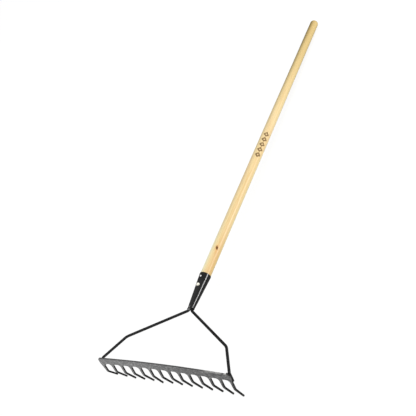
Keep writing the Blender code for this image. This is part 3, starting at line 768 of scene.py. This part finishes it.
class Tine:
    """One tine of the blank, bent back where the press bent it."""

    def __init__(self, index):
        self.index = index
        self.is_first = index == 0
        self.is_last = index == TINE_COUNT - 1
        self.centre = TINE_SHIFT - HEAD_WIDTH / 2 + TINE_WIDTH / 2 + index * PITCH
        fan = TINE_FAN * (index - (TINE_COUNT - 1) / 2)
        self.angle = math.radians(TINE_ANGLE + fan + TINE_SET.get(index + 1, 0.0))
        is_end = self.is_first or self.is_last
        hook = END_TINE_HOOK[self.is_last] if is_end else TINE_HOOK
        reach = TINE_BEND_R * math.tan(self.angle / 2)
        self.bend_start = TINE_STRAIGHT - reach
        self.bend_end = self.bend_start + TINE_BEND_R * self.angle
        self.tip = self.bend_end + hook - reach
        self.stations = [ROOT + (self.tip - TIP_CORNER_R - ROOT) * (k / DOWN)
                         for k in range(1, DOWN + 1)]
        self.stations += [self.tip - short for short in TIP_ROWS]
        self.rows = len(self.stations)
        self.first_column = 0  # among the bar's columns; set by blank_grid

    def part(self, s):
        """0 at the root, 1 at the tip."""
        return max(0.0, (s - ROOT) / (self.tip - ROOT))

    def edges(self, s):
        width = TINE_WIDTH + (TINE_TIP_WIDTH - TINE_WIDTH) * self.part(s)
        centre = self.centre + TINE_TIP_SET * self.part(s)
        left, right = centre - width / 2, centre + width / 2
        # the outer tines are wider at the root
        top = max(0.0, 1 - (s - ROOT) / (self.bend_start - ROOT))
        top = smooth_step(top) * 0.5 + top * 0.5
        if self.is_first:
            left -= (BAR_END_LEFT - SHOULDER_IN_LEFT - HEAD_WIDTH / 2 + TINE_SHIFT) * top
            right -= TINE_LEAN * top
        if self.is_last:
            right += SHOULDER_OUT_RIGHT * top
        # ground corners of the tip
        short = self.tip - s
        if short < TIP_CORNER_R:
            cut = TIP_CORNER_R - math.sqrt(
                max(0.0, TIP_CORNER_R ** 2 - (TIP_CORNER_R - short) ** 2))
            left, right = left + cut, right - cut
        return left, right

    def thick(self, s):
        return HEAD_THICK + (TINE_TIP_THICK - HEAD_THICK) * self.part(s)

    def place(self, x, s, behind):
        """3-D point of the blank's point (x, s), behind its middle plane by so much."""
        bend = min(max((s - self.bend_start) / TINE_BEND_R, 0.0), self.angle)
        before = min(s, self.bend_start)
        after = max(s - self.bend_end, 0.0)
        drop = before + TINE_BEND_R * math.sin(bend) + after * math.cos(bend)
        back = TINE_BEND_R * (1 - math.cos(bend)) + after * math.sin(bend)
        normal = bar_normal(self.centre)
        along = Vector((normal.y, -normal.x))
        plan = (bar_point(self.centre, HEAD_THICK / 2)
                + (back + behind * math.cos(bend)) * normal + (x - self.centre) * along)
        return Vector((plan.x, plan.y, -(drop - behind * math.sin(bend))))

    def key(self, column, row):
        """Name of a grid point; row 0 is the bar's last row."""
        if row == 0:
            return "bar", self.first_column + column, ROWS
        return "tine", self.index, column, row


def wave(x, s):
    """How far the pressed sheet stands off its true plane."""
    return (0.16 * noise.noise(Vector((x / 38.0, s / 26.0, 4.3)))
            + 0.05 * noise.noise(Vector((x / 11.0, s / 9.0, 1.7))))


def end_outline(side):
    """Points down the outer side of one end of the bar: its corner, then its shoulder."""
    reach = BAR_END_LEFT if side < 0 else BAR_END_RIGHT
    arc = [math.radians(degrees) for degrees in range(90, -1, -15)]
    points = [(BAR_CORNER_R * (1 - math.cos(a)), BAR_CORNER_R * (1 - math.sin(a))) for a in arc]
    return [(side * (reach - inset), s) for inset, s in points + SHOULDERS[side]]


def gap_outline(tine):
    """Points from left to right round the top of the gap on a tine's right."""
    half_gap = (PITCH - TINE_WIDTH) / 2
    middle = tine.centre + TINE_WIDTH / 2 + half_gap
    half_flat = half_gap - GAP_ROOT_R
    arc = [math.radians(11.25 * k) for k in range(1, 9)]
    sweep = [(half_flat + GAP_ROOT_R * math.cos(a), ROOT - GAP_ROOT_R * math.sin(a)) for a in arc]
    return ([(middle - out, s) for out, s in sweep] + [(middle, BAR_HEIGHT)]
            + [(middle + out, s) for out, s in reversed(sweep)])


def blank_grid(tines):
    """The blank's grid: {name: (x, s)}, and for each bar column whether it lies inside a tine's
    width. Names are ("bar", column, row) and ("tine", index, column, row)."""
    grid, inside = {}, []
    for tine in tines:
        tine.first_column = len(inside)
        inside += [0 < c < ACROSS for c in range(ACROSS + 1)]
        left_side, right_side = ([(x, ROOT * j / ROWS) for j in range(ROWS + 1)]
                                 for x in tine.edges(ROOT))
        if tine.is_first:
            left_side = end_outline(-1)
        if tine.is_last:
            right_side = end_outline(1)
        for j in range(ROWS + 1):
            for c in range(ACROSS + 1):
                grid["bar", tine.first_column + c, j] = tuple(
                    a + (b - a) * c / ACROSS for a, b in zip(left_side[j], right_side[j]))
        for j, s in enumerate(tine.stations, 1):
            left, right = tine.edges(s)
            for c in range(ACROSS + 1):
                grid["tine", tine.index, c, j] = (left + (right - left) * c / ACROSS, s)
        if not tine.is_last:
            for x, s in gap_outline(tine):
                for j in range(ROWS + 1):
                    grid["bar", len(inside), j] = (x, s * j / ROWS)
                inside.append(False)
    return grid, inside


def blank_outline(tines, last):
    """Names of the grid points once round the blank, from its top left corner along the top."""
    loop = [("bar", k, 0) for k in range(last + 1)]
    loop += [("bar", last, j) for j in range(1, ROWS + 1)]
    for tine in reversed(tines):
        if not tine.is_last:
            loop.append(tine.key(ACROSS, 0))
        loop += [tine.key(ACROSS, j) for j in range(1, tine.rows + 1)]
        loop += [tine.key(c, tine.rows) for c in range(ACROSS - 1, -1, -1)]
        loop += [tine.key(0, j) for j in range(tine.rows - 1, -1, -1)]
        if not tine.is_first:
            gap_end = tines[tine.index - 1].first_column + ACROSS
            loop += [("bar", k, ROWS) for k in range(tine.first_column - 1, gap_end, -1)]
    loop += [("bar", 0, j) for j in range(ROWS - 1, 0, -1)]
    return loop


def outward_normals(grid, loop):
    normals = {}
    for k, name in enumerate(loop):
        before, after = Vector(grid[loop[k - 1]]), Vector(grid[loop[(k + 1) % len(loop)]])
        here = Vector(grid[name])
        ahead = ((here - before).normalized() + (after - here).normalized()).normalized()
        normals[name] = Vector((ahead.y, -ahead.x))
    return normals


def inset_grid(grid, inside, normals, tines):
    """The grid of the flat faces, pulled in from the outline by the edge radius."""
    face = {name: Vector(p) - normals[name] * EDGE_R if name in normals else None
            for name, p in grid.items()}

    def fill(name, start, end, part):
        if face[name] is None:
            face[name] = face[start].lerp(face[end], part)

    for k, is_inside in enumerate(inside):
        if not is_inside:
            for j in range(ROWS + 1):
                fill(("bar", k, j), ("bar", k, 0), ("bar", k, ROWS), j / ROWS)
    for tine in tines:
        first = tine.first_column
        for c in range(1, ACROSS):
            part = c / ACROSS
            for j in range(ROWS + 1):
                fill(("bar", first + c, j), ("bar", first, j), ("bar", first + ACROSS, j), part)
            for j in range(1, tine.rows + 1):
                fill(tine.key(c, j), tine.key(0, j), tine.key(ACROSS, j), part)
    return face


def rake_head():
    tines = [Tine(i) for i in range(TINE_COUNT)]
    grid, inside = blank_grid(tines)
    last = len(inside) - 1
    loop = blank_outline(tines, last)
    normals = outward_normals(grid, loop)
    face = inset_grid(grid, inside, normals, tines)

    bm = bmesh.new()
    edge = bm.verts.layers.float.new("edge")

    def vert(name, x, s, side, inward, mark):
        """side -1 is the front, +1 the back; inward is the distance in from that face."""
        if name[0] == "bar":
            plan = bar_point(x, HEAD_THICK / 2 + side * (HEAD_THICK / 2 - inward))
            place = Vector((plan.x, plan.y, -s))
        else:
            tine = tines[name[1]]
            place = tine.place(x, s, side * (tine.thick(s) / 2 - inward))
        v = bm.verts.new(place + Vector((0, wave(x, s), 0)))
        v[edge] = mark
        return v

    sheets = {}
    for side in (-1, 1):
        sheet = sheets[side] = {
            name: vert(name, p.x, p.y, side, inward=0.0, mark=0.3 if name in normals else 0.0)
            for name, p in face.items()}

        def quad(names):
            bm.faces.new([sheet[name] for name in names[::-side]])

        for k in range(last):
            for j in range(ROWS):
                quad((("bar", k, j), ("bar", k, j + 1), ("bar", k + 1, j + 1), ("bar", k + 1, j)))
        for tine in tines:
            for j in range(tine.rows):
                for c in range(ACROSS):
                    quad((tine.key(c, j), tine.key(c, j + 1),
                          tine.key(c + 1, j + 1), tine.key(c + 1, j)))

    # the rounded edge: a strip of vertices from front to back at each outline point
    strips = []
    for name in loop:
        strip = [sheets[-1][name]]
        for side, arc in ((-1, EDGE_ARC), (1, EDGE_ARC[::-1])):
            for degrees in arc:
                angle = math.radians(degrees)
                p = face[name] + normals[name] * EDGE_R * math.sin(angle)
                strip.append(vert(name, p.x, p.y, side, inward=EDGE_R * (1 - math.cos(angle)),
                                  mark=0.5 if degrees == 90 else 1.0))
        strip.append(sheets[1][name])
        strips.append(strip)
    for here, after in zip(strips, strips[1:] + strips[:1]):
        for k in range(len(here) - 1):
            bm.faces.new((here[k], after[k], after[k + 1], here[k + 1]))
    return bm


head = piece("rake_head_comb", rake_head(), HEAD, GREY, ["rake_head"], smooth=50)
flat_normals = head.modifiers.new("flat_faces", "WEIGHTED_NORMAL")
flat_normals.mode = "FACE_AREA"
flat_normals.keep_sharp = True


# ------------------------------------------------------------------ bow rods
SIDES = (-1, "left"), (1, "right")
slope = math.radians(AXIS_SLOPE)
along_pole = Vector((0, math.cos(slope), math.sin(slope)))
bow_centre = Vector((0, AXIS_Y, AXIS_Z))


def rod_end_x(side):
    return BOW_SHIFT + side * ROD_END_X[side]


def rod_points(side):
    """From inside the socket, out of its mouth, round the bow and down the back of the bar."""
    start = bow_centre + Vector((side * ROD_PAIR_X, 0, 0))
    end_x = rod_end_x(side)
    end_y = bar_point(end_x, HEAD_THICK).y + ROD_D / 2 + ROD_BAR_GAP
    return [
        start + along_pole * ROD_TANG,
        start + along_pole * -2.0,
        Vector((BOW_SHIFT + side * ROD_BEND.x, ROD_BEND.y, ROD_BEND.z)),
        Vector((end_x, end_y, ROD_END_Z[side])),
        Vector((end_x - side * ROD_LEG_LEAN, end_y, ROD_LEG_Z)),
    ]


def rod_skin(point, direction, radius, _angle, _length):
    """Drawn rod: almost true, with slight unevenness."""
    broad = noise.noise(Vector((point.x / 14.0, point.y / 14.0, point.z / 14.0)))
    return radius + (0.05 * broad + 0.02 * noise.noise(point / 3.0 + direction * 2.0))


def rod(side):
    """A round bar whose ends turn in on themselves."""
    path = rounded(rod_points(side), (ROD_MOUTH_R, ROD_BEND_R, ROD_CORNER_R))
    tangents = tangents_of(path)
    radius = ROD_D / 2
    turns = [ROD_NOSE * (1 - math.sin(part * math.pi / 2)) for part in (0.0, 0.35, 0.7, 1.0)]
    stations = [(path[0] + tangents[0] * turn, tangents[0], radius - turn) for turn in turns]
    stations += [(p, t, radius) for p, t in zip(path[1:-1], tangents[1:-1])]
    stations += [(path[-1] - tangents[-1] * turn, tangents[-1], radius - turn)
                 for turn in reversed(turns)]
    bm = bmesh.new()
    rings = tube(bm, stations, 28, rod_skin)
    bm.faces.new(list(reversed(rings[0])))
    bm.faces.new(rings[-1])
    return bm


for side, word in SIDES:
    piece("bow_arm_" + word, rod(side), HEAD, SATIN_LEFT_LIT if side < 0 else SATIN,
          ["bow_rod_" + word])


# ------------------------------------------------------------------ socket
def socket_r(s):
    part = (s - SOCKET_MOUTH) / (SOCKET_RIM - SOCKET_MOUTH)
    return (SOCKET_MOUTH_D + (SOCKET_RIM_D - SOCKET_MOUTH_D) * part) / 2


def socket_skin(radius, angle, z):
    """Leaves the inside true; the outside has a seam groove and shallow dishing."""
    if radius <= socket_r(z) - 0.5:
        return radius
    off_seam = abs(wrap(angle - math.pi / 2)) * radius
    seam = -0.28 * math.exp(-(off_seam / 0.45) ** 2)
    dish = 0.02 * noise.noise(Vector((math.cos(angle) * 1.1, math.sin(angle) * 1.1, z / 34.0)))
    ends = min(1.0, (SOCKET_RIM - z) / 6.0, (z - SOCKET_MOUTH) / 6.0)
    return radius + seam + dish * max(0.0, ends)


def socket():
    """Rolled steel cone with rounded rims and its butted seam along the underside."""
    rim_r, mouth_r = socket_r(SOCKET_RIM), socket_r(SOCKET_MOUTH)
    start, end = SOCKET_RIM - SOCKET_LIP, SOCKET_MOUTH + SOCKET_LIP
    outer = [(rim_r - 0.75, SOCKET_RIM), (rim_r - 0.32, SOCKET_RIM - 0.06),
             (rim_r - 0.08, SOCKET_RIM - 0.28)]
    steps = 46
    for k in range(steps + 1):
        s = start + (end - start) * k / steps
        outer.append((socket_r(s), s))
    outer += [(mouth_r - 0.1, SOCKET_MOUTH + 0.25), (mouth_r - 0.35, SOCKET_MOUTH + 0.05),
              (mouth_r - 0.75, SOCKET_MOUTH)]
    inner = [(socket_r(s) - SOCKET_WALL, s)
             for s in (SOCKET_MOUTH, 20.0, 45.0, 70.0, 90.0, SOCKET_RIM)]
    bm = bmesh.new()
    rings = lathe(bm, outer + inner, 144, warp=socket_skin)
    join_rings(bm, rings[-1], rings[0])
    return bm


def outward(s, azimuth, radius):
    """A frame in the socket's frame with its Z pointing out from the axis."""
    angle = math.radians(azimuth)
    z = Vector((math.sin(angle), -math.cos(angle), 0))
    y = Vector((0, 0, 1))
    return Matrix.Translation(Vector((0, 0, s)) + z * radius) @ axes(y.cross(z), y, z)


def dome(radius, height, rim, steps=9):
    """Upper side of a set rivet head: an upright rim, a low dome and the hammer's flat on top."""
    points = [(radius - 0.15, 0.0), (radius, 0.18), (radius, rim)]
    for k in range(1, steps + 1):
        angle = math.radians(90 * k / steps)
        here = radius * math.cos(angle) ** 0.9
        if here < 0.28 * radius:
            points.append((0.28 * radius, height - 0.03))
            break
        points.append((here, rim + (height - rim) * math.sin(angle)))
    return points + [(0.14 * radius, height), (0, height)]


def rivet():
    """Through the socket, with a head above and a smaller one below."""
    wall_r = socket_r(RIVET_S)
    head_r = RIVET_HEAD_D / 2
    top = [(q, wall_r + 0.1 + z) for q, z in dome(head_r, RIVET_HEAD_H, rim=0.5)]
    low = [(q, -(wall_r + 0.1 + z)) for q, z in dome(head_r - 0.3, RIVET_HEAD_H - 0.4, rim=0.45)]
    shank = [(head_r - 0.45, -(wall_r - 1.0)), (RIVET_D / 2, -(wall_r - 1.05)),
             (RIVET_D / 2, wall_r - 1.05), (head_r - 0.15, wall_r - 1.0)]

    def struck(radius, angle, z):
        """Puts the heads slightly out of round."""
        if abs(z) <= wall_r - 0.5:
            return radius
        return radius * (1 + 0.025 * math.sin(2 * angle + 0.7) + 0.018 * math.sin(3 * angle + 2.0))

    bm = bmesh.new()
    lathe(bm, low[::-1] + shank + top, 48, at=outward(RIVET_S, 0, 0), warp=struck)
    return bm


def nail():
    head_r = NAIL_HEAD_D / 2
    profile = [  # radius, height
        (0, -NAIL_DEPTH), (0.25, -NAIL_DEPTH + 0.3), (NAIL_D / 2, -NAIL_DEPTH + 2.5),
        (NAIL_D / 2, -1.1), (head_r - 0.5, -0.5), (head_r - 0.08, 0.12), (head_r, 0.35),
        (head_r - 0.03, 0.75), (head_r - 0.18, 1.0), (head_r - 0.55, 1.17),
        (head_r * 0.45, 1.25), (head_r * 0.2, 1.22), (0, 1.2),
    ]
    at = outward(NAIL_S, -NAIL_AZIMUTH, socket_r(NAIL_S))
    bm = bmesh.new()
    lathe(bm, profile, 32, at=at @ Matrix.Rotation(math.radians(NAIL_TILT), 4, "X"))
    return bm


piece("socket_cone", socket(), SOCKET, GLOSS, ["socket"])
piece("rivet_set", rivet(), SOCKET, RIVET, ["socket_rivet"])
piece("nail_driven", nail(), SOCKET, NAIL, ["socket_nail"])


# ------------------------------------------------------------------ pole
DOME_START = POLE_END - DOME_LENGTH
ROUND_START = SOCKET_RIM + 3.0  # where the full round begins


def pole_r(s):
    part = min(max((s - POLE_THIN[0]) / (POLE_THIN[1] - POLE_THIN[0]), 0.0), 1.0)
    return (POLE_D + (POLE_D_END - POLE_D) * smooth_step(part)) / 2


def pole_skin(radius, angle, z):
    """Sanded unevenness, and the knot a little proud in a shallow hollow."""
    if z < ROUND_START or z > DOME_START:
        return radius
    soft = min(1.0, (z - ROUND_START) / 10.0, (DOME_START - z) / 10.0)
    sanded = 0.10 * noise.noise(Vector((math.cos(angle) * 0.9, math.sin(angle) * 0.9, z / 90.0)))
    around = wrap(angle - math.radians(-90 + KNOT_BUMP_AZIMUTH))
    knot = (((z - KNOT_S) / KNOT_HALF_LENGTH) ** 2
            + (around * (POLE_D / 2) / KNOT_HALF_WIDTH) ** 2)
    relief = 0.16 * math.exp(-knot) - 0.10 * math.exp(-knot / 6.0) - 0.05
    return radius + soft * (sanded + relief)


def pole():
    fit = SOCKET_WALL + TANG_PLAY
    end = socket_r(TANG_END) - fit
    rim_r = socket_r(SOCKET_RIM) - fit
    profile = [(0, TANG_END), (end - 1.5, TANG_END), (end - 0.6, TANG_END + 0.6),
               (end, TANG_END + 2.5)]
    for k in range(1, 12):
        s = TANG_END + 2.5 + (SOCKET_RIM - 2.2 - TANG_END - 2.5) * k / 11
        profile.append((socket_r(s) - fit, s))
    # the shoulder where the turned tang meets the round
    for k in range(9):
        part = k / 8
        profile.append((rim_r + (POLE_D / 2 - rim_r) * smooth_step(part),
                        SOCKET_RIM - 2.0 + 3.0 * part))
    # the round, with closer rings at the knot
    s = ROUND_START
    while s < DOME_START - 3.0:
        profile.append((pole_r(s), s))
        s += 1.0 if KNOT_S - KNOT_REACH < s < KNOT_S + KNOT_REACH else 8.0
    # the rounded end, cut off just short of its full length
    steps = 16
    for k in range(steps):
        angle = math.radians(90 * k / steps)
        profile.append((pole_r(DOME_START) * math.cos(angle) ** 0.7,
                        DOME_START + DOME_LENGTH * math.sin(angle)))
    profile.append((0, POLE_END))
    profile = [(radius, min(z, POLE_END - END_FLAT)) for radius, z in profile]
    bm = bmesh.new()
    lathe(bm, profile, 128, warp=pole_skin)
    return bm


piece("pole_turned", pole(), SOCKET, WOOD, ["handle"], smooth=60)


# ------------------------------------------------------------------ welds
# Beads down each rod's leg on the bar:
# name, distance outward from the rod's middle, bead radius, top z, low z
BAR_WELDS = (
    ("outer", 4.2, 2.0, -5.2, -17.8),
    ("inner", -4.0, 2.4, -0.8, -16.2),
)
# The inner bead starts on the bar's top edge: (distance inward from the rod, depth)
INNER_START = (5.4, 1.6), (3.6, 2.6)
INNER_START_Z = -1.6
WELD_DROP = 0.7  # share of the rod end's drop that the beads follow
MOUTH_WELD_S = 1.6
MOUTH_WELD_SWEEP = 84  # degrees each way
MOUTH_WELD_HALF = 4.2, 3.2  # half width and half height of its arc
MOUTH_WELD_X = 4.6
MOUTH_WELD_R = 2.0


def run_of(points, steps, radius):
    """Evenly spaced points along a bent line, with a radius that grows from its ends."""
    lengths = [0.0]
    for start, end in zip(points, points[1:]):
        lengths.append(lengths[-1] + (end - start).length)
    path, radii = [], []
    for k in range(steps + 1):
        part = k / steps
        distance = part * lengths[-1]
        leg = max(i for i, length in enumerate(lengths) if length <= distance + 1e-9)
        leg = min(leg, len(points) - 2)
        along = (distance - lengths[leg]) / (lengths[leg + 1] - lengths[leg])
        path.append(points[leg].lerp(points[leg + 1], along))
        radii.append(radius * max(0.12, math.sin(math.pi * (0.04 + 0.92 * part)) ** 0.55))
    return path, radii


def bead(points, steps, radius, ripple, seed, sides=20):
    """A run of weld metal along a bent line: overlapping scales, ripple mm long, and a rough
    skin."""
    path, radii = run_of(points, steps, radius)
    tangents = tangents_of(path)

    def skin(point, direction, r, angle, length):
        phase = length / ripple + 0.18 * math.cos(angle + seed)
        scale = 1.0 + 0.10 * (1.0 - 2.0 * (phase % 1.0)) * min(1.0, r / 1.2)
        surface = point + direction * r
        rough = (0.22 * r * noise.noise(surface * 0.45 + Vector((seed, 0, 0)))
                 + 0.10 * r * noise.noise(surface * 1.3))
        return r * scale + rough

    bm = bmesh.new()
    rings = tube(bm, list(zip(path, tangents, radii)), sides, skin)
    start = bm.verts.new(path[0] - tangents[0] * radii[0] * 0.5)
    stop = bm.verts.new(path[-1] + tangents[-1] * radii[-1] * 0.5)
    for k in range(sides):
        j = (k + 1) % sides
        bm.faces.new((start, rings[0][j], rings[0][k]))
        bm.faces.new((stop, rings[-1][k], rings[-1][j]))
    return bm


def bar_weld(side, place, out, radius, top_z, low_z):
    end_x, end_z = rod_end_x(side), ROD_END_Z[side]
    points = []
    if place == "inner":
        for inward, depth in INNER_START:
            x = end_x - side * inward
            points.append(Vector((x, bar_point(x, depth).y, INNER_START_Z)))
    for z in (top_z, (top_z + low_z) / 2, low_z):
        z += (end_z - ROD_END_Z[1]) * WELD_DROP
        x = end_x + side * (out - ROD_LEG_LEAN * (end_z - z) / (end_z - ROD_LEG_Z))
        points.append(Vector((x, bar_point(x, HEAD_THICK + 0.9).y, z)))
    return bead(points, steps=60, radius=radius, ripple=1.5, seed=1.3 + side + out)


def mouth_weld(side):
    """Round the rod where it leaves the socket's mouth."""
    centre = bow_centre + along_pole * MOUTH_WELD_S
    over = along_pole.cross(Vector((1, 0, 0)))
    half_width, half_height = MOUTH_WELD_HALF
    points = []
    for k in range(13):
        angle = math.radians(-MOUTH_WELD_SWEEP + 2 * MOUTH_WELD_SWEEP * k / 12)
        out = Vector((side * (MOUTH_WELD_X + half_width * math.cos(angle)), 0, 0))
        points.append(centre + out + over * (half_height * math.sin(angle)))
    return bead(points, steps=72, radius=MOUTH_WELD_R, ripple=1.7, seed=4.1 + side)


for side, word in SIDES:
    for place, *sizes in BAR_WELDS:
        tail = word + "_" + place
        piece("weld_bar_" + tail, bar_weld(side, place, *sizes), HEAD, WELD,
              ["bar_weld_" + tail], smooth=60)
    piece("weld_mouth_" + word, mouth_weld(side), HEAD, WELD_BARE if side < 0 else WELD,
          ["socket_weld_" + word], smooth=60)


# ------------------------------------------------------------------ floor, light, camera (m)
def floor_pale():
    """Pale paper lit through from below: the camera sees that glow, the rake doesn't."""
    look = Look("floor_pale", colour=(0.22, 0.22, 0.22))
    place = look.node("ShaderNodeCombineXYZ", enumerate(look.split(look.geometry("Position"))))
    look.lay((0.235, 0.235, 0.235), look.noise(place.outputs[0], scale=1.5))
    seen = look.value("ShaderNodeLightPath", "Is Camera Ray")
    return look.finish(rough=0.9, specular=0.0, glow_colour=(1.0, 1.0, 1.0), glow=seen * 0.82)


floor_mesh = bpy.data.meshes.new("floor")
bm = bmesh.new()
bmesh.ops.create_grid(bm, x_segments=4, y_segments=4, size=6.0)
bm.to_mesh(floor_mesh)
bm.free()
floor = bpy.data.objects.new("floor", floor_mesh)
bpy.context.scene.collection.objects.link(floor)
floor_mesh.materials.append(floor_pale())

# an even white room, with dark flags round it that only reflections see
ROOM_STRENGTH = 0.74
FLAG_DIMMING = -0.54
world = bpy.data.worlds.new("studio")
bpy.context.scene.world = world
world.use_nodes = True
sky = world.node_tree.nodes["Background"]
sky.inputs["Color"].default_value = (1.0, 1.0, 1.0, 1.0)
room = Nodes(world.node_tree)
reflected = room.value("ShaderNodeLightPath", "Is Glossy Ray")
room.put(sky.inputs["Strength"], reflected.scaled(by=FLAG_DIMMING, plus=ROOM_STRENGTH))


def area_light(name, size, power):
    data = bpy.data.lights.new(name, "AREA")
    data.shape = "RECTANGLE"
    data.size, data.size_y = size
    data.energy = power
    ob = bpy.data.objects.new(name, data)
    bpy.context.scene.collection.objects.link(ob)
    return ob


def softbox(name, at, to, size, power):
    """A light kept out of reflections, so the black enamel stays black."""
    ob = area_light(name, size, power)
    ob.location = at
    ob.rotation_euler = (Vector(to) - Vector(at)).to_track_quat("-Z", "Y").to_euler()
    ob.visible_glossy = False


softbox("key_left", at=(-1.1, -2.3, 2.2), to=(0, -0.2, 0), size=(2.4, 2.4), power=20.0)
softbox("top", at=(0.3, 0.6, 3.0), to=(0, 0.1, 0), size=(3.0, 3.0), power=6.0)

# a narrow strip along the pole, mirrored as a line down the socket
STRIP_S = 60.0  # mm up the socket, where it is aimed
STRIP_DISTANCE = 2.4
STRIP_DIRECTION = 0.882, 0.374, 0.287  # from the socket, in the head's frame
strip = area_light("strip_right", size=(0.44, 1.7), power=40.0)
target = SOCKET @ Vector((0, 0, STRIP_S * MM))
toward = (HEAD.to_3x3() @ Vector(STRIP_DIRECTION)).normalized()
along = (SOCKET.to_3x3() @ Vector((0, 0, 1))).normalized()
row = (along - along.dot(toward) * toward).normalized()
strip.matrix_world = (Matrix.Translation(target + toward * STRIP_DISTANCE)
                      @ axes(row.cross(toward), row, toward))

# camera, placed and turned in the head's frame
CAMERA_PLACE = 1.031751, -0.801688, 0.967116
CAMERA_RIGHT = 0.809441, 0.461837, -0.362646
CAMERA_UP = 0.040284, 0.572454, 0.818947
CAMERA_BACK = 0.585818, -0.677497, 0.444763
camera_data = bpy.data.cameras.new("camera")
camera = bpy.data.objects.new("camera", camera_data)
bpy.context.scene.collection.objects.link(camera)
camera_data.sensor_width = 36.0
camera_data.lens = 57.27968
camera_data.clip_start = 0.01
camera_data.clip_end = 50.0
camera.matrix_world = (HEAD @ Matrix.Translation(CAMERA_PLACE)
                       @ axes(CAMERA_RIGHT, CAMERA_UP, CAMERA_BACK))
bpy.context.scene.camera = camera

bpy.context.scene.view_settings.view_transform = "Standard"
